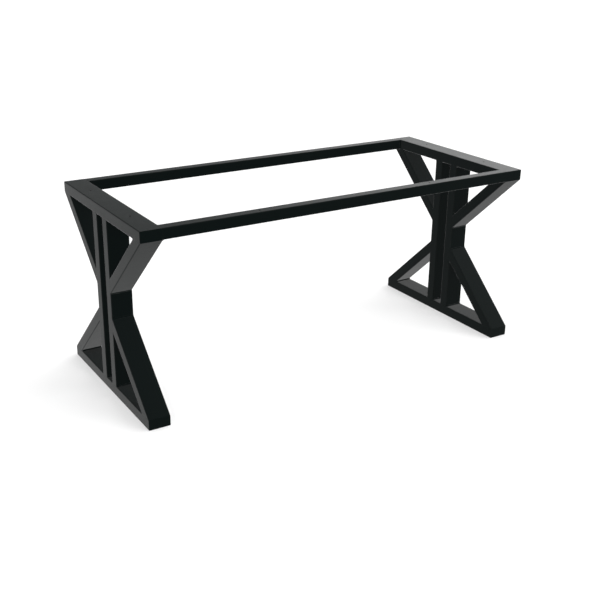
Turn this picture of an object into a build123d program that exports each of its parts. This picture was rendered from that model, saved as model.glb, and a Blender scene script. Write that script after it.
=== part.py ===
"""Welded steel table base: two leg frames of rectangular tube, tied at the top by two square rails.

Millimetres, +Z up, +X along the table. The origin is on the floor under the middle of the base.
Front is -Y and left is -X. Every cut length of tube and every cap plate is a solid of its own,
and the pieces meet face to face, as they are set up for welding.
"""

from build123d import *
import os

# Overall size
BASE_LENGTH = 1600.0
BASE_DEPTH = 700.0
BASE_HEIGHT = 700.0

# Rectangular tube of the leg frames: its width runs along the table
LEG_TUBE_WIDTH = 80.0
LEG_TUBE_THICKNESS = 40.0

# Square tube of the two rails
RAIL_WIDTH = 40.0
RAIL_HEIGHT = 40.0

# Rolled tube: the outside of a corner follows its inside radius one wall further out
TUBE_WALL = 2.0
INSIDE_CORNER_RADIUS = 1.0

# Leg frame: two posts side by side, and the bare length of post between upper and lower braces
POST_GAP = 50.0
WAIST_HEIGHT = 95.0

# Plates that close the open ends of the top bars and foot bars, with a ground outer edge
CAP_THICKNESS = 3.0
CAP_EDGE_CHAMFER = 0.8

# Holes for screws that go up into the table top, each with a wider hole below for head and driver
SCREW_HOLE_DIAMETER = 7.0
ACCESS_HOLE_DIAMETER = 16.0
END_BAR_SCREW_SPACING = 360.0
RAIL_SCREW_SPACING = 720.0

# Places that several pieces share
LEG_X = (BASE_LENGTH - LEG_TUBE_WIDTH) / 2
RAIL_Y = (BASE_DEPTH - RAIL_WIDTH) / 2
RAIL_Z = BASE_HEIGHT - RAIL_HEIGHT / 2
RAIL_LENGTH = BASE_LENGTH - 2 * LEG_TUBE_WIDTH
MIDDLE_Z = BASE_HEIGHT / 2
BAR_OFFSET_Z = (BASE_HEIGHT - LEG_TUBE_THICKNESS) / 2
BAR_FACE_OFFSET_Z = BASE_HEIGHT / 2 - LEG_TUBE_THICKNESS
BAR_LENGTH = BASE_DEPTH - 2 * CAP_THICKNESS
POST_Y = (POST_GAP + LEG_TUBE_THICKNESS) / 2
POST_OUTER_Y = POST_GAP / 2 + LEG_TUBE_THICKNESS
POST_LENGTH = 2 * BAR_FACE_OFFSET_Z
OUTSIDE_CORNER_RADIUS = INSIDE_CORNER_RADIUS + TUBE_WALL

LEFT_RIGHT = {"left": -1, "right": 1}
FRONT_REAR = {"front": -1, "rear": 1}
LOWER_UPPER = {"lower": -1, "upper": 1}


def tube_section(width, thickness):
    """Hollow rectangle with rolled corners."""
    outside = RectangleRounded(width, thickness, OUTSIDE_CORNER_RADIUS)
    bore_width = width - 2 * TUBE_WALL
    bore_thickness = thickness - 2 * TUBE_WALL
    return outside - RectangleRounded(bore_width, bore_thickness, INSIDE_CORNER_RADIUS)


def cut_tube(middle, along, across, width, thickness, length):
    """Square-cut length of tube, centred on middle, with its width along the direction across."""
    plane = Plane(origin=middle, x_dir=across, z_dir=along)
    return extrude(plane * tube_section(width, thickness), length / 2, both=True)


def leg_tube(middle, along, length):
    """Length of the leg frames' tube, with its width along the table."""
    return cut_tube(middle, along, (1, 0, 0), LEG_TUBE_WIDTH, LEG_TUBE_THICKNESS, length)


def drill_for_screws(tube, places, top_z, height):
    """Screw hole in the tube's top wall and access hole in its bottom wall at each (x, y)."""
    for x, y in places:
        tube -= Pos(x, y, top_z) * Cylinder(SCREW_HOLE_DIAMETER / 2, height)
        tube -= Pos(x, y, top_z - height) * Cylinder(ACCESS_HOLE_DIAMETER / 2, height)
    return tube


def top_bar(x):
    bar = leg_tube((x, 0, MIDDLE_Z + BAR_OFFSET_Z), (0, 1, 0), BAR_LENGTH)
    places = [(x, side * END_BAR_SCREW_SPACING / 2) for side in FRONT_REAR.values()]
    return drill_for_screws(bar, places, BASE_HEIGHT, LEG_TUBE_THICKNESS)


def foot_bar(x):
    return leg_tube((x, 0, MIDDLE_Z - BAR_OFFSET_Z), (0, 1, 0), BAR_LENGTH)


def post(x, y_side):
    return leg_tube((x, y_side * POST_Y, MIDDLE_Z), (0, 0, 1), POST_LENGTH)


def brace(x, y_side, z_side):
    """Slanting tube, sawn level where it meets the bar and upright where it meets the post.

    Its outer face runs from the end of the bar to the end of the waist.
    """
    bar_face_z = MIDDLE_Z + z_side * BAR_FACE_OFFSET_Z
    post_face_y = y_side * POST_OUTER_Y
    at_bar = Vector(x, y_side * BASE_DEPTH / 2, bar_face_z)
    at_post = Vector(x, post_face_y, MIDDLE_Z + z_side * WAIST_HEIGHT / 2)
    slope = at_bar - at_post
    inward = Vector(0, -y_side * abs(slope.Z), z_side * abs(slope.Y)).normalized()
    middle = (at_bar + at_post) / 2 + inward * (LEG_TUBE_THICKNESS / 2)
    rough = leg_tube(middle, slope, slope.length + 2 * LEG_TUBE_THICKNESS)
    level_cut = Plane(origin=at_bar, z_dir=(0, 0, -z_side))
    upright_cut = Plane(origin=at_post, z_dir=(0, y_side, 0))
    return split(split(rough, level_cut, Keep.TOP), upright_cut, Keep.TOP)


def cap(x, y_side, z_side):
    """Plate the size of the tube, flush with its sides, with its outer edge ground off."""
    outer_face_y = y_side * BASE_DEPTH / 2
    z = MIDDLE_Z + z_side * BAR_OFFSET_Z
    plane = Plane(origin=(x, outer_face_y, z), x_dir=(1, 0, 0), z_dir=(0, -y_side, 0))
    outline = RectangleRounded(LEG_TUBE_WIDTH, LEG_TUBE_THICKNESS, OUTSIDE_CORNER_RADIUS)
    plate = extrude(plane * outline, CAP_THICKNESS)
    outer_face = plate.faces().sort_by(Axis((0, 0, 0), (0, y_side, 0))).last
    return chamfer(outer_face.edges(), min(CAP_EDGE_CHAMFER, CAP_THICKNESS / 2))


def rail(y_side):
    y = y_side * RAIL_Y
    tube = cut_tube((0, y, RAIL_Z), (1, 0, 0), (0, 1, 0), RAIL_WIDTH, RAIL_HEIGHT, RAIL_LENGTH)
    places = [(side * RAIL_SCREW_SPACING / 2, y) for side in LEFT_RIGHT.values()]
    return drill_for_screws(tube, places, BASE_HEIGHT, RAIL_HEIGHT)


pieces = {}

for end, x_side in LEFT_RIGHT.items():
    leg_x = x_side * LEG_X
    pieces[f"{end}_top_bar"] = top_bar(leg_x)
    pieces[f"{end}_foot_bar"] = foot_bar(leg_x)
    for face, y_side in FRONT_REAR.items():
        pieces[f"{end}_{face}_post"] = post(leg_x, y_side)
        pieces[f"{end}_{face}_top_cap"] = cap(leg_x, y_side, LOWER_UPPER["upper"])
        pieces[f"{end}_{face}_foot_cap"] = cap(leg_x, y_side, LOWER_UPPER["lower"])
        for level, z_side in LOWER_UPPER.items():
            pieces[f"{end}_{face}_{level}_brace"] = brace(leg_x, y_side, z_side)

for face, y_side in FRONT_REAR.items():
    pieces[f"{face}_rail"] = rail(y_side)

os.makedirs("parts", exist_ok=True)
for name, piece in pieces.items():
    export_step(piece, f"parts/{name}.step")
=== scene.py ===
"""Dress the welded table base: powder coat, weld beads, ground welds, studio and camera.

Metres, +Z up, in the part's own frame. Front is -Y and left is -X.
"""

import bmesh
import bpy
import math
from bpy.props import FloatProperty, FloatVectorProperty, IntProperty, PointerProperty
from bpy.types import Operator, Panel, PropertyGroup
from mathutils import Euler, Matrix, Vector


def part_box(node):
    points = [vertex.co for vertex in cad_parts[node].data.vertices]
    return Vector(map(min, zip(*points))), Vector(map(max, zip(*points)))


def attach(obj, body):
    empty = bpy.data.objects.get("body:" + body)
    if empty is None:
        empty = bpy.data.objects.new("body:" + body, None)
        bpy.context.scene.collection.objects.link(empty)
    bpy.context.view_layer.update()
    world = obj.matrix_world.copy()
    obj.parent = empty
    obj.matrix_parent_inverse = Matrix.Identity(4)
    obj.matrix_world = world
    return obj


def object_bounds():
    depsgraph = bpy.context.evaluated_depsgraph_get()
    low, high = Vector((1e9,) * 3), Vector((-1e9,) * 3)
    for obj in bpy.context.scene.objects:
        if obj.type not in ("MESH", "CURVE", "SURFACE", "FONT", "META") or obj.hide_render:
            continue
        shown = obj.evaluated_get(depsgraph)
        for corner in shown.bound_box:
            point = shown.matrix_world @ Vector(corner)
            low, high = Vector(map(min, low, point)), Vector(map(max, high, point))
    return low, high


bl_info = {
    "name": "Welded table base",
    "version": (1, 0, 0),
    "blender": (4, 5, 0),
    "location": "3D View > Sidebar > Table Base",
    "description": "Powder coat, welds and a studio for a welded steel table base",
    "category": "Object",
}

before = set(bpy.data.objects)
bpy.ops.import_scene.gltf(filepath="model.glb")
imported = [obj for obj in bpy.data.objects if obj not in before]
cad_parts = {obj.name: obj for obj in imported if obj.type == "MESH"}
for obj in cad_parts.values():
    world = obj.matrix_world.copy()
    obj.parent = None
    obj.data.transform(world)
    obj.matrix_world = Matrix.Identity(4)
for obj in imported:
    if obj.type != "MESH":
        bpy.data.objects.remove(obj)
CAD_LOW, CAD_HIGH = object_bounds()
BODY = "root"
WHITE = (1.0, 1.0, 1.0, 1.0)
ORIGIN = (0.0, 0.0, 0.0)

ENDS = {"left": -1, "right": 1}
FACES = {"front": -1, "rear": 1}
LEVELS = {"lower": -1, "upper": 1}
BARS = {"lower": "foot_bar", "upper": "top_bar"}

# Coats, each with the axis that the corners of its pieces turn away from, for the painted
# highlight on those corners, if they have any
LEG_COAT = "leg_coat"
RAIL_COAT = "rail_and_cap_coat"
BEAD_COAT = "bead_coat"
CORNER_AXES = {LEG_COAT: "X", RAIL_COAT: "Y", BEAD_COAT: None}

# Noise: its mean, and the detail in each of the coat's patterns
MEAN_NOISE = 0.5
CLOUD_DETAIL = 4.0
PEEL_DETAIL = 1.0
GRAIN_DETAIL = 2.0

# Sockets of a Mix node that mixes colours
MIX_FIRST = 6
MIX_SECOND = 7
MIX_RESULT = 2

# Fineness of the meshes
RINGS_PER_RIPPLE = 4
FLOOR_CORNERS = 96
SMOOTH_ANGLE = math.radians(30)

# Ripples at each end of a bead over which it is drawn in
TAPERED_RIPPLES = 2

# Share of the crown within which a point of a bead's section counts as being on its middle line
MIDDLE_SHARE = 0.01

# Fixed start of the beads' unevenness, so that they come out the same each time
WANDER_SEED = 4

# Width of the camera's sensor in millimetres
SENSOR_WIDTH = 36.0


class Socket:
    """Wraps a node's output, so that shader maths is written as Python arithmetic."""

    def __init__(self, graph, socket):
        self.graph = graph
        self.socket = socket

    def maths(self, operation, first, second):
        return self.graph.node("ShaderNodeMath", {"operation": operation}, {0: first, 1: second})

    def __add__(self, other):
        return self.maths("ADD", self, other)

    def __radd__(self, other):
        return self.maths("ADD", other, self)

    def __sub__(self, other):
        return self.maths("SUBTRACT", self, other)

    def __rsub__(self, other):
        return self.maths("SUBTRACT", other, self)

    def __mul__(self, other):
        return self.maths("MULTIPLY", self, other)

    def __rmul__(self, other):
        return self.maths("MULTIPLY", other, self)


class Graph:
    """Node tree of a material or a world."""

    def __init__(self, owner):
        owner.use_nodes = True
        self.tree = owner.node_tree
        self.tree.nodes.clear()

    def node(self, kind, settings, inputs, output=0):
        """Add a node, set it up, fill or link its sockets, and return one of its outputs."""
        node = self.tree.nodes.new(kind)
        for name, value in settings.items():
            setattr(node, name, value)
        for key, value in inputs.items():
            if isinstance(value, Socket):
                self.tree.links.new(value.socket, node.inputs[key])
            else:
                node.inputs[key].default_value = value
        if not node.outputs:
            return None
        return Socket(self, node.outputs[output])


class CoatSettings(PropertyGroup):
    """Satin black powder coat."""

    colour: FloatVectorProperty(
        name="Colour", description="Colour of the coat",
        subtype="COLOR", size=3, default=(0.0004, 0.0026, 0.0024), min=0.0, max=1.0,
    )
    thin_colour: FloatVectorProperty(
        name="Thin colour", description="Colour where the coat lies thinner",
        subtype="COLOR", size=3, default=(0.0009, 0.0034, 0.0032), min=0.0, max=1.0,
    )
    # Painted highlight: this colour lightens the rolled tube corners and stands in for the light
    # they catch
    corner_highlight_colour: FloatVectorProperty(
        name="Corner colour", description="Colour on the corners, where the coat is thinnest",
        subtype="COLOR", size=3, default=(0.0125, 0.0145, 0.0142), min=0.0, max=1.0,
    )
    # How much of each corner the painted highlight covers
    corner_highlight_share: FloatProperty(
        name="Corner share", description="How much of a corner the thinnest coat takes",
        default=0.8, min=0.0, max=1.0,
    )
    roughness: FloatProperty(
        name="Roughness", description="Mean roughness of the coat",
        default=0.30, min=0.0, max=1.0,
    )
    roughness_spread: FloatProperty(
        name="Roughness spread", description="How far the roughness wanders",
        default=0.08, min=0.0, max=1.0,
    )
    specular: FloatProperty(
        name="Specular level", description="Strength of the coat's mirror reflection",
        default=0.032, min=0.0, max=1.0,
    )
    cloud_size: FloatProperty(
        name="Cloud size", description="Size of the patches where the coat varies",
        default=0.090, unit="LENGTH",
    )
    peel_size: FloatProperty(
        name="Peel size", description="Size of the coat's orange peel",
        default=0.0035, unit="LENGTH",
    )
    peel_height: FloatProperty(
        name="Peel height", description="Height of the coat's orange peel",
        default=0.000110, unit="LENGTH",
    )
    grain_size: FloatProperty(
        name="Grain size", description="Size of the coat's fine grain",
        default=0.0008, unit="LENGTH",
    )
    grain_height: FloatProperty(
        name="Grain height", description="Height of the coat's fine grain",
        default=0.000030, unit="LENGTH",
    )


class WeldSettings(PropertyGroup):
    """Weld beads in the inside corners and welds ground flush on the show faces."""

    bead_width: FloatProperty(
        name="Bead width", description="Width of a bead across its corner",
        default=0.0054, unit="LENGTH",
    )
    bead_crown: FloatProperty(
        name="Bead crown", description="How far a bead bulges out of its corner",
        default=0.0009, unit="LENGTH",
    )
    bead_inset: FloatProperty(
        name="Bead inset", description="How far a bead stops short of the side faces",
        default=0.0018, unit="LENGTH",
    )
    bead_end: FloatProperty(
        name="Bead end", description="Section at the ends of a bead, as a share of the full one",
        default=0.6, min=0.0, max=1.0,
    )
    bead_sides: IntProperty(
        name="Bead sides", description="Corners of a bead's section", default=16, min=8,
    )
    ripple_pitch: FloatProperty(
        name="Ripple pitch", description="Distance from one ripple to the next",
        default=0.0024, unit="LENGTH",
    )
    ripple_share: FloatProperty(
        name="Ripple share", description="How far a ripple falls off, as a share of the crown",
        default=0.40,
    )
    ripple_lean: FloatProperty(
        name="Ripple lean", description="How far the crown of a ripple runs ahead of its sides",
        default=math.radians(55), subtype="ANGLE",
    )
    wander: FloatProperty(
        name="Wander", description="Unevenness of a bead by hand",
        default=0.00010, unit="LENGTH",
    )
    tube_corner: FloatProperty(
        name="Tube corner", description="Corner radius of the tubes, which a ground weld fills",
        default=0.003, unit="LENGTH",
    )
    ground_depth: FloatProperty(
        name="Ground depth", description="How far a ground weld lies below the faces beside it",
        default=0.00005, unit="LENGTH",
    )
    corner_steps: IntProperty(
        name="Corner steps", description="Flats round the corner of a ground weld",
        default=6, min=2,
    )


class StageSettings(PropertyGroup):
    """Floor, light and camera."""

    floor_colour: FloatVectorProperty(
        name="Floor colour", description="Colour of the pale floor",
        subtype="COLOR", size=3, default=(0.58, 0.58, 0.58), min=0.0, max=1.0,
    )
    floor_radius: FloatProperty(
        name="Floor radius", description="Radius of the floor", default=60.0, unit="LENGTH",
    )
    floor_glow: FloatProperty(
        name="Floor glow", description="What the floor adds for the eye, to come out white",
        default=0.40,
    )
    floor_mirror_glow: FloatProperty(
        name="Floor mirror glow", description="Strength of the floor where the coat mirrors it",
        default=1.62,
    )
    sky_light: FloatProperty(
        name="Sky light", description="Strength of the white studio all round", default=1.0,
    )
    screen_colour: FloatVectorProperty(
        name="Screen colour", description="Colour of the screen that darkens the reflections",
        subtype="COLOR", size=3, default=(0.315, 0.315, 0.315), min=0.0, max=1.0,
    )
    screen_size: FloatVectorProperty(
        name="Screen size", description="Width and height of the grey screen",
        subtype="XYZ_LENGTH", size=2, default=(13.0, 6.5),
    )
    screen_fade: FloatProperty(
        name="Screen fade", description="Share of the screen over which its right side thins out",
        default=0.85, min=0.0, max=1.0,
    )
    screen_distance: FloatProperty(
        name="Screen distance", description="How far the grey screen stands from the base",
        default=9.0, unit="LENGTH",
    )
    screen_heading: FloatProperty(
        name="Screen heading", description="Heading of the screen, from the rear to the right",
        default=math.radians(6), subtype="ANGLE",
    )
    glow_light: FloatProperty(
        name="Glow light", description="What the studio gains on its bright side", default=2.75,
    )
    glow_heading: FloatProperty(
        name="Glow heading", description="Heading of the bright side, from the rear to the right",
        default=math.radians(66), subtype="ANGLE",
    )
    glow_core: FloatProperty(
        name="Glow core", description="Angle round the bright side's middle that is fully bright",
        default=math.radians(8), subtype="ANGLE",
    )
    glow_edge: FloatProperty(
        name="Glow edge", description="Angle from the bright side's middle to where it ends",
        default=math.radians(42), subtype="ANGLE",
    )
    side_light: FloatProperty(
        name="Side light", description="What the studio gains at a soft light high on its right",
        default=2.6,
    )
    side_heading: FloatProperty(
        name="Side heading", description="Heading of the soft light, from the rear to the right",
        default=math.radians(121), subtype="ANGLE",
    )
    side_height: FloatProperty(
        name="Side height", description="How far the soft light stands above the horizon",
        default=math.radians(45), subtype="ANGLE",
    )
    side_core: FloatProperty(
        name="Side core", description="Angle round the soft light's middle that is fully bright",
        default=math.radians(5), subtype="ANGLE",
    )
    side_edge: FloatProperty(
        name="Side edge", description="Angle from the soft light's middle to where it ends",
        default=math.radians(28), subtype="ANGLE",
    )
    sun_strength: FloatProperty(
        name="Sun strength", description="Strength of the soft light from above", default=0.30,
    )
    sun_spread: FloatProperty(
        name="Sun spread", description="Angle over which the light from above is spread",
        default=math.radians(60), subtype="ANGLE",
    )
    sun_tilt: FloatProperty(
        name="Sun tilt", description="How far the light from above comes in from the right",
        default=math.radians(20), subtype="ANGLE",
    )
    camera_place: FloatVectorProperty(
        name="Camera place", description="Where the camera stands",
        subtype="TRANSLATION", size=3, default=(-1.8692, -2.9761, 1.5977),
    )
    camera_heading: FloatProperty(
        name="Camera heading", description="Heading of the view, from the rear to the right",
        default=math.radians(30.992), subtype="ANGLE",
    )
    camera_dip: FloatProperty(
        name="Camera dip", description="How far the camera looks down",
        default=math.radians(21.270), subtype="ANGLE",
    )
    camera_roll: FloatProperty(
        name="Camera roll", description="How far the camera leans to the left",
        default=math.radians(0.373), subtype="ANGLE",
    )
    lens: FloatProperty(
        name="Lens", description="Focal length of the lens",
        default=57.126, unit="CAMERA",
    )
    shift_x: FloatProperty(
        name="Shift X", description="Sideways shift of the lens", default=0.0333,
    )
    shift_y: FloatProperty(
        name="Shift Y", description="Upward shift of the lens", default=-0.0150,
    )


def deselect_all():
    bpy.ops.object.select_all(action="DESELECT")


def give_coat(piece, material):
    """Coat a piece, and keep it out of the reflections: the coat mirrors the studio alone."""
    piece.data.materials.clear()
    piece.data.materials.append(material)
    piece.visible_glossy = False


def finish_piece(piece, name, material):
    """Name a new piece, give it its finish and let it ride on the base."""
    piece.name = name
    piece.data.name = name
    give_coat(piece, material)
    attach(piece, BODY)


def powder_coat(name, coat):
    """Satin black coat: orange peel, fine grain, slow patches of thickness, and a painted
    highlight on the corners.
    """
    material = bpy.data.materials.new(name)
    graph = Graph(material)
    place = graph.node("ShaderNodeTexCoord", {}, {}, "Object")

    def noise(size, detail):
        sockets = {"Vector": place, "Scale": 1.0 / size, "Detail": detail}
        return graph.node("ShaderNodeTexNoise", {}, sockets, "Fac")

    def blend(factor, first, second):
        sockets = {"Factor": factor, MIX_FIRST: first, MIX_SECOND: second}
        return graph.node("ShaderNodeMix", {"data_type": "RGBA"}, sockets, MIX_RESULT)

    cloud = noise(coat.cloud_size, CLOUD_DETAIL)
    peel = noise(coat.peel_size, PEEL_DETAIL)
    grain = noise(coat.grain_size, GRAIN_DETAIL)
    colour = blend(cloud, (*coat.colour, 1.0), (*coat.thin_colour, 1.0))
    if CORNER_AXES[name]:
        facing = graph.node("ShaderNodeTexCoord", {}, {}, "Normal")
        lean = graph.node("ShaderNodeSeparateXYZ", {}, {0: facing}, CORNER_AXES[name])
        # 0 on the flats and 1 halfway round a corner, where the square of the lean is a half
        square = lean * lean
        corner = square * (1.0 - square) * 4.0
        # Painted highlight: the rolled corners are lightened toward the corner colour, in patches
        # that follow the cloud
        painted_highlight = corner * cloud * (coat.corner_highlight_share / MEAN_NOISE)
        colour = blend(painted_highlight, colour, (*coat.corner_highlight_colour, 1.0))
    roughness = (cloud + grain - 2 * MEAN_NOISE) * coat.roughness_spread + coat.roughness
    height = peel * coat.peel_height + grain * coat.grain_height
    relief = {"Height": height, "Distance": 1.0, "Strength": 1.0}
    normal = graph.node("ShaderNodeBump", {}, relief, "Normal")
    surface = graph.node("ShaderNodeBsdfPrincipled", {}, {
        "Base Color": colour,
        "Roughness": roughness,
        "Normal": normal,
        "Specular IOR Level": coat.specular,
    })
    graph.node("ShaderNodeOutputMaterial", {}, {"Surface": surface})
    return material


def coat_material(context, name):
    """One of the coats, made once and shared by the pieces that have it."""
    return bpy.data.materials.get(name) or powder_coat(name, context.scene.base_coat)


def joined_copies(copies):
    """Copy patterns to their places, given as (pattern, matrix), and join the copies."""
    deselect_all()
    for pattern, place in copies:
        copy = pattern.copy()
        copy.data = pattern.data.copy()
        bpy.context.collection.objects.link(copy)
        copy.matrix_world = place
        copy.select_set(True)
        bpy.context.view_layer.objects.active = copy
    bpy.ops.object.join()
    bpy.ops.object.transform_apply(location=True, rotation=True, scale=True)
    return bpy.context.object


def remove_patterns(patterns):
    for pattern in patterns:
        bpy.data.objects.remove(pattern)


def place_matrix(origin, across, upright, along):
    """Matrix that takes X to across, Y to upright and Z to along, at origin."""
    columns = Matrix((across, upright, along)).transposed().to_4x4()
    return Matrix.Translation(origin) @ columns


def select_points(test):
    """Select, in edit mode, the points whose place passes the test."""
    bpy.ops.mesh.select_mode(type="VERT")
    bpy.ops.mesh.select_all(action="DESELECT")
    mesh = bmesh.from_edit_mesh(bpy.context.object.data)
    for point in mesh.verts:
        point.select = test(point.co)
    mesh.select_flush_mode()
    bmesh.update_edit_mesh(bpy.context.object.data)


def model_bead(length, corner_angle, weld):
    """Rippled weld bead in a corner along the Z axis, with its crown towards +X.

    The section is an oval: its outer half is the crown and its inner half fills the corner.
    """
    half_width = weld.bead_width / 2
    depth = half_width / math.tan(corner_angle / 2)
    crown = weld.bead_crown / math.cos(weld.ripple_lean)
    middle_line = crown * MIDDLE_SHARE
    step = weld.ripple_pitch / RINGS_PER_RIPPLE
    rings = round(length / step)
    tapered = TAPERED_RIPPLES * RINGS_PER_RIPPLE
    height = -step * rings / 2

    def girth(ring):
        """Share of the full section, drawn in towards both ends."""
        to_end = min(ring, rings - ring, tapered) / tapered
        return weld.bead_end + (1.0 - weld.bead_end) * math.sin(to_end * math.pi / 2)

    def swell(ring):
        """Share of the crown: a ripple rises at once and falls off until the next."""
        return 1.0 - weld.ripple_share * (ring % RINGS_PER_RIPPLE) / RINGS_PER_RIPPLE

    deselect_all()
    bpy.ops.mesh.primitive_circle_add(
        vertices=weld.bead_sides, radius=1.0, fill_type="NGON", enter_editmode=True,
        location=ORIGIN,
    )
    bpy.ops.transform.resize(value=(crown, half_width, 1.0), center_override=ORIGIN)
    select_points(lambda place: place.x < -middle_line)
    bpy.ops.transform.resize(value=(depth / crown, 1.0, 1.0), center_override=ORIGIN)
    select_points(lambda place: place.x > middle_line)
    bpy.ops.transform.rotate(value=weld.ripple_lean, orient_axis="Y", center_override=ORIGIN)
    bpy.ops.mesh.select_all(action="SELECT")
    bpy.ops.transform.translate(value=(depth, 0.0, height))
    bpy.ops.transform.resize(value=(girth(0), girth(0), 1.0), center_override=(0.0, 0.0, height))
    for ring in range(1, rings + 1):
        height += step
        bpy.ops.mesh.extrude_region_move(TRANSFORM_OT_translate={"value": (0.0, 0.0, step)})
        growth = girth(ring) / girth(ring - 1)
        bpy.ops.transform.resize(value=(growth, growth, 1.0), center_override=(0.0, 0.0, height))
        rise = swell(ring) / swell(ring - 1)
        toe = depth * girth(ring)
        bpy.ops.transform.resize(value=(rise, 1.0, 1.0), center_override=(toe, 0.0, height))
    bpy.ops.mesh.select_all(action="SELECT")
    bpy.ops.mesh.normals_make_consistent(inside=False)
    bpy.ops.transform.vertex_random(offset=weld.wander, seed=WANDER_SEED)
    bpy.ops.object.mode_set(mode="OBJECT")
    bpy.ops.object.shade_smooth()
    return bpy.context.object


def model_collar(width, thickness, stretch, weld):
    """Ground weld round the end of a tube: the tube's outline in XY, drawn out along +Z.

    A tube sawn at a slant has its outline stretched along Y.
    """
    deselect_all()
    bpy.ops.mesh.primitive_plane_add(size=1.0, enter_editmode=True, location=ORIGIN)
    bpy.ops.transform.resize(
        value=(width - 2 * weld.ground_depth, thickness - 2 * weld.ground_depth, 1.0),
        center_override=ORIGIN,
    )
    bpy.ops.mesh.bevel(offset=weld.tube_corner, segments=weld.corner_steps, affect="VERTICES")
    bpy.ops.transform.resize(value=(1.0, stretch, 1.0), center_override=ORIGIN)
    move = {"value": (0.0, 0.0, weld.tube_corner)}
    bpy.ops.mesh.extrude_region_move(TRANSFORM_OT_translate=move)
    bpy.ops.mesh.select_all(action="SELECT")
    bpy.ops.mesh.normals_make_consistent(inside=False)
    bpy.ops.object.mode_set(mode="OBJECT")
    bpy.ops.object.shade_smooth_by_angle(angle=SMOOTH_ANGLE)
    return bpy.context.object


def bead_place(corner, along, first_normal, second_normal):
    """Place of a bead in the corner of two faces, crown out."""
    crown = (first_normal + second_normal).normalized()
    return place_matrix(corner, crown, along.cross(crown), along)


def collar_place(middle, across, into):
    """Place of a collar on the middle of a tube's end, drawn out into the other tube."""
    return place_matrix(middle, across, into.cross(across), into)


class BeadShop:
    """Beads of one length, modelled once for each corner angle."""

    def __init__(self, length, weld):
        self.length = length
        self.weld = weld
        self.patterns = {}

    def bead(self, first_normal, second_normal):
        corner_angle = math.pi - first_normal.angle(second_normal)
        key = round(math.degrees(corner_angle), 1)
        if key not in self.patterns:
            self.patterns[key] = model_bead(self.length, corner_angle, self.weld)
        return self.patterns[key]

    def close(self):
        remove_patterns(self.patterns.values())


class LegSide:
    """One quarter of a leg frame, front or rear and lower or upper, as the frame gives it."""

    def __init__(self, end, face, level):
        y_side = FACES[face]
        z_side = LEVELS[level]
        bar_low, bar_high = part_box(f"{end}_{BARS[level]}")
        post_low, post_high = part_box(f"{end}_{face}_post")
        brace_low, brace_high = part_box(f"{end}_{face}_{level}_brace")
        self.x = (bar_low.x + bar_high.x) / 2
        self.bar_z = bar_low.z if level == "upper" else bar_high.z
        self.post_outer_y = post_low.y if face == "front" else post_high.y
        self.post_inner_y = post_high.y if face == "front" else post_low.y
        self.end_y = brace_low.y if face == "front" else brace_high.y
        self.waist_z = brace_low.z if level == "upper" else brace_high.z
        rise = brace_high.z - brace_low.z
        run = brace_high.y - brace_low.y
        slope = math.hypot(rise, run)
        thickness = bar_high.z - bar_low.z
        self.bar_stretch = slope / rise
        self.post_stretch = slope / run
        self.brace_bar_y = self.end_y - y_side * thickness * self.bar_stretch
        self.brace_post_z = self.waist_z + z_side * thickness * self.post_stretch
        self.brace_inner = Vector((0.0, -y_side * rise, z_side * run)) / slope
        self.post_outer = Vector((0.0, y_side, 0.0))
        self.bar_face = Vector((0.0, 0.0, -z_side))

    def at(self, y, z):
        return Vector((self.x, y, z))

    def inside_corners(self):
        """Middles of the inside corners along X, each with the normals of its two faces."""
        return [
            (self.at(self.post_outer_y, self.bar_z), self.post_outer, self.bar_face),
            (self.at(self.post_inner_y, self.bar_z), -self.post_outer, self.bar_face),
            (self.at(self.brace_bar_y, self.bar_z), self.brace_inner, self.bar_face),
            (self.at(self.post_outer_y, self.brace_post_z), self.brace_inner, self.post_outer),
            (self.at(self.post_outer_y, self.waist_z), -self.brace_inner, self.post_outer),
        ]

    def tube_ends(self):
        """Ends of the post and the brace: kind, middle, and the way into the other tube."""
        post_y = (self.post_inner_y + self.post_outer_y) / 2
        brace_y = (self.brace_bar_y + self.end_y) / 2
        brace_z = (self.waist_z + self.brace_post_z) / 2
        return [
            ("post", self.at(post_y, self.bar_z), -self.bar_face),
            ("brace_on_bar", self.at(brace_y, self.bar_z), -self.bar_face),
            ("brace_on_post", self.at(self.post_outer_y, brace_z), -self.post_outer),
        ]


def leg_sides(end):
    return [LegSide(end, face, level) for face in FACES for level in LEVELS]


class TABLEBASE_OT_coat_tubes(Operator):
    """Give every tube and cap plate its powder coat"""

    bl_idname = "tablebase.coat_tubes"
    bl_label = "Coat Tubes and Caps"

    def execute(self, context):
        for name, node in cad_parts.items():
            coat = RAIL_COAT if name.endswith(("_rail", "_cap")) else LEG_COAT
            give_coat(node, coat_material(context, coat))
        return {"FINISHED"}


class TABLEBASE_OT_leg_beads(Operator):
    """Lay the weld beads in the inside corners of the two leg frames"""

    bl_idname = "tablebase.leg_beads"
    bl_label = "Leg Weld Beads"

    def execute(self, context):
        weld = context.scene.base_weld
        bar_low, bar_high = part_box("left_top_bar")
        shop = BeadShop(bar_high.x - bar_low.x - 2 * weld.bead_inset, weld)
        along = Vector((1.0, 0.0, 0.0))
        for end in ENDS:
            copies = []
            for side in leg_sides(end):
                for corner, first, second in side.inside_corners():
                    pattern = shop.bead(first, second)
                    copies.append((pattern, bead_place(corner, along, first, second)))
                    along = -along
            beads = joined_copies(copies)
            finish_piece(beads, f"{end}_leg_weld_beads", coat_material(context, BEAD_COAT))
        shop.close()
        return {"FINISHED"}


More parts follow.
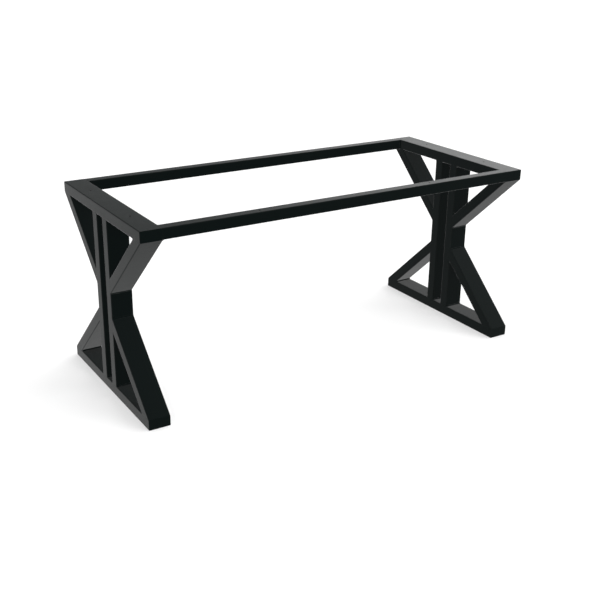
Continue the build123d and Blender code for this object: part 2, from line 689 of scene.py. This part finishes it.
class TABLEBASE_OT_leg_ground_welds(Operator):
    """Fill the seams on the show faces of the two leg frames flush"""

    bl_idname = "tablebase.leg_ground_welds"
    bl_label = "Leg Ground Welds"

    def execute(self, context):
        weld = context.scene.base_weld
        bar_low, bar_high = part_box("left_top_bar")
        width = bar_high.x - bar_low.x
        thickness = bar_high.z - bar_low.z
        across = Vector((1.0, 0.0, 0.0))
        side = LegSide("left", "front", "upper")
        patterns = {
            "post": model_collar(width, thickness, 1.0, weld),
            "brace_on_bar": model_collar(width, thickness, side.bar_stretch, weld),
            "brace_on_post": model_collar(width, thickness, side.post_stretch, weld),
        }
        for end in ENDS:
            copies = []
            for side in leg_sides(end):
                for kind, middle, into in side.tube_ends():
                    copies.append((patterns[kind], collar_place(middle, across, into)))
            collars = joined_copies(copies)
            finish_piece(collars, f"{end}_leg_ground_welds", coat_material(context, LEG_COAT))
        remove_patterns(patterns.values())
        return {"FINISHED"}


class TABLEBASE_OT_rail_welds(Operator):
    """Weld the four ends of the rails: ground flush outside, beads in the inside corners"""

    bl_idname = "tablebase.rail_welds"
    bl_label = "Rail Welds"

    def execute(self, context):
        weld = context.scene.base_weld
        up = Vector((0.0, 0.0, 1.0))
        rail_low, rail_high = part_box("front_rail")
        width = rail_high.y - rail_low.y
        height = rail_high.z - rail_low.z
        collar = model_collar(width, height, 1.0, weld)
        shop = BeadShop(height - 2 * weld.bead_inset, weld)
        collars = []
        beads = []
        for face, y_side in FACES.items():
            rail_low, rail_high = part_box(f"{face}_rail")
            middle = (rail_low + rail_high) / 2
            inward = Vector((0.0, -y_side, 0.0))
            for x_side in ENDS.values():
                outward = Vector((x_side, 0.0, 0.0))
                end_x = rail_low.x if x_side < 0 else rail_high.x
                end = Vector((end_x, middle.y, middle.z))
                collars.append((collar, collar_place(end, inward, outward)))
                beside = end + inward * (width / 2)
                below = end - up * (height / 2)
                for corner, along, normal in ((beside, up, inward), (below, inward, -up)):
                    pattern = shop.bead(-outward, normal)
                    beads.append((pattern, bead_place(corner, along, -outward, normal)))
        ground_welds = joined_copies(collars)
        finish_piece(ground_welds, "rail_ground_welds", coat_material(context, RAIL_COAT))
        weld_beads = joined_copies(beads)
        finish_piece(weld_beads, "rail_weld_beads", coat_material(context, BEAD_COAT))
        remove_patterns([collar])
        shop.close()
        return {"FINISHED"}


class TABLEBASE_OT_studio(Operator):
    """Set up the pale floor, the soft light and the camera"""

    bl_idname = "tablebase.studio"
    bl_label = "Studio"

    def execute(self, context):
        stage = context.scene.base_stage
        self.make_floor(stage)
        self.make_world(context.scene, stage)
        self.make_screen(stage)
        self.make_sun(stage)
        self.make_camera(context.scene, stage)
        context.scene.view_settings.view_transform = "Standard"
        return {"FINISHED"}

    def make_floor(self, stage):
        """Pale floor that shows the base's shadow, and that the coat mirrors evenly bright."""
        deselect_all()
        bpy.ops.mesh.primitive_circle_add(
            vertices=FLOOR_CORNERS, radius=stage.floor_radius, fill_type="NGON",
            location=(0.0, 0.0, CAD_LOW.z),
        )
        floor = bpy.context.object
        floor.name = "studio_floor"
        material = bpy.data.materials.new("studio_floor")
        graph = Graph(material)
        seen = graph.node("ShaderNodeLightPath", {}, {}, "Is Camera Ray")
        through = graph.node("ShaderNodeLightPath", {}, {}, "Is Transmission Ray")
        mirrored = graph.node("ShaderNodeLightPath", {}, {}, "Is Glossy Ray")
        strength = (seen + through) * stage.floor_glow
        lit = graph.node("ShaderNodeBsdfDiffuse", {}, {"Color": (*stage.floor_colour, 1.0)})
        glow = graph.node("ShaderNodeEmission", {}, {"Color": WHITE, "Strength": strength})
        pale = graph.node("ShaderNodeAddShader", {}, {0: lit, 1: glow})
        even_light = {"Color": WHITE, "Strength": stage.floor_mirror_glow}
        even = graph.node("ShaderNodeEmission", {}, even_light)
        surface = graph.node("ShaderNodeMixShader", {}, {0: mirrored, 1: pale, 2: even})
        graph.node("ShaderNodeOutputMaterial", {}, {"Surface": surface})
        floor.data.materials.append(material)

    def make_world(self, scene, stage):
        """White studio all round, brighter on one side and at a soft light on the right."""
        world = bpy.data.worlds.new("studio")
        scene.world = world
        graph = Graph(world)
        way = graph.node("ShaderNodeTexCoord", {}, {}, "Generated")

        def patch(heading, height, core, edge):
            """1 in the core round a point of the studio, falling off to 0 at the edge."""
            level = math.cos(height)
            ahead = (math.sin(heading) * level, math.cos(heading) * level, math.sin(height))
            product = {"operation": "DOT_PRODUCT"}
            facing = graph.node("ShaderNodeVectorMath", product, {0: way, 1: ahead}, "Value")
            limits = {"Value": facing, "From Min": math.cos(edge), "From Max": math.cos(core)}
            return graph.node("ShaderNodeMapRange", {"interpolation_type": "SMOOTHSTEP"}, limits)

        glow = patch(stage.glow_heading, 0.0, stage.glow_core, stage.glow_edge)
        soft = patch(stage.side_heading, stage.side_height, stage.side_core, stage.side_edge)
        strength = glow * stage.glow_light + soft * stage.side_light + stage.sky_light
        light = graph.node("ShaderNodeBackground", {}, {"Color": WHITE, "Strength": strength})
        graph.node("ShaderNodeOutputWorld", {}, {"Surface": light})

    def make_screen(self, stage):
        """Grey screen behind the base that only the coat's reflections show."""
        width, height = stage.screen_size
        ahead = Vector((math.sin(stage.screen_heading), math.cos(stage.screen_heading), 0.0))
        middle = ahead * stage.screen_distance + Vector((0.0, 0.0, CAD_LOW.z + height / 2))
        deselect_all()
        bpy.ops.mesh.primitive_plane_add(
            size=1.0, location=middle, rotation=(math.pi / 2, 0.0, -stage.screen_heading),
        )
        bpy.ops.transform.resize(value=(width, 1.0, height))
        screen = bpy.context.object
        screen.name = "grey_screen"
        material = bpy.data.materials.new("grey_screen")
        graph = Graph(material)
        place = graph.node("ShaderNodeTexCoord", {}, {}, "Object")
        sideways = graph.node("ShaderNodeSeparateXYZ", {}, {0: place}, "X")
        # In the screen's own coordinates it is one unit wide, with its middle at 0
        right_edge = 0.5
        full_cover = right_edge - stage.screen_fade
        limits = {"Value": sideways, "From Min": right_edge, "From Max": full_cover}
        cover = graph.node("ShaderNodeMapRange", {"interpolation_type": "SMOOTHSTEP"}, limits)
        clear = graph.node("ShaderNodeBsdfTransparent", {}, {})
        cloth = graph.node("ShaderNodeBsdfDiffuse", {}, {"Color": (*stage.screen_colour, 1.0)})
        surface = graph.node("ShaderNodeMixShader", {}, {0: cover, 1: clear, 2: cloth})
        graph.node("ShaderNodeOutputMaterial", {}, {"Surface": surface})
        screen.data.materials.append(material)
        screen.visible_camera = False
        screen.visible_diffuse = False
        screen.visible_transmission = False
        screen.visible_shadow = False

    def make_sun(self, stage):
        """Soft light from above."""
        deselect_all()
        bpy.ops.object.light_add(type="SUN", rotation=(0.0, stage.sun_tilt, 0.0))
        sun = bpy.context.object
        sun.name = "soft_sun"
        sun.data.energy = stage.sun_strength
        sun.data.angle = stage.sun_spread

    def make_camera(self, scene, stage):
        """Plain perspective camera, with a small shift and no depth of field."""
        deselect_all()
        level = Euler((math.pi / 2 - stage.camera_dip, 0.0, -stage.camera_heading)).to_matrix()
        turn = (level @ Matrix.Rotation(stage.camera_roll, 3, "Z")).to_euler()
        bpy.ops.object.camera_add(location=stage.camera_place, rotation=turn)
        camera = bpy.context.object
        camera.name = "camera"
        camera.data.sensor_width = SENSOR_WIDTH
        camera.data.lens = stage.lens
        camera.data.shift_x = stage.shift_x
        camera.data.shift_y = stage.shift_y
        scene.camera = camera


class TABLEBASE_PT_panel(Panel):
    """Pieces and settings of the table base"""

    bl_idname = "TABLEBASE_PT_panel"
    bl_label = "Table Base"
    bl_space_type = "VIEW_3D"
    bl_region_type = "UI"
    bl_category = "Table Base"

    def draw(self, context):
        for operator in OPERATORS:
            self.layout.operator(operator.bl_idname)
        for name in SETTINGS:
            group = getattr(context.scene, name)
            box = self.layout.box()
            for prop in group.bl_rna.properties:
                if prop.identifier not in ("rna_type", "name"):
                    box.prop(group, prop.identifier)


OPERATORS = (
    TABLEBASE_OT_coat_tubes,
    TABLEBASE_OT_leg_beads,
    TABLEBASE_OT_leg_ground_welds,
    TABLEBASE_OT_rail_welds,
    TABLEBASE_OT_studio,
)
SETTINGS = {"base_coat": CoatSettings, "base_weld": WeldSettings, "base_stage": StageSettings}
CLASSES = (*SETTINGS.values(), *OPERATORS, TABLEBASE_PT_panel)


def register():
    for cls in CLASSES:
        bpy.utils.register_class(cls)
    for name, group in SETTINGS.items():
        setattr(bpy.types.Scene, name, PointerProperty(type=group))


def unregister():
    for name in SETTINGS:
        delattr(bpy.types.Scene, name)
    for cls in reversed(CLASSES):
        bpy.utils.unregister_class(cls)


def main():
    register()
    bpy.ops.tablebase.coat_tubes()
    bpy.ops.tablebase.leg_beads()
    bpy.ops.tablebase.leg_ground_welds()
    bpy.ops.tablebase.rail_welds()
    bpy.ops.tablebase.studio()


if __name__ == "__main__":
    main()
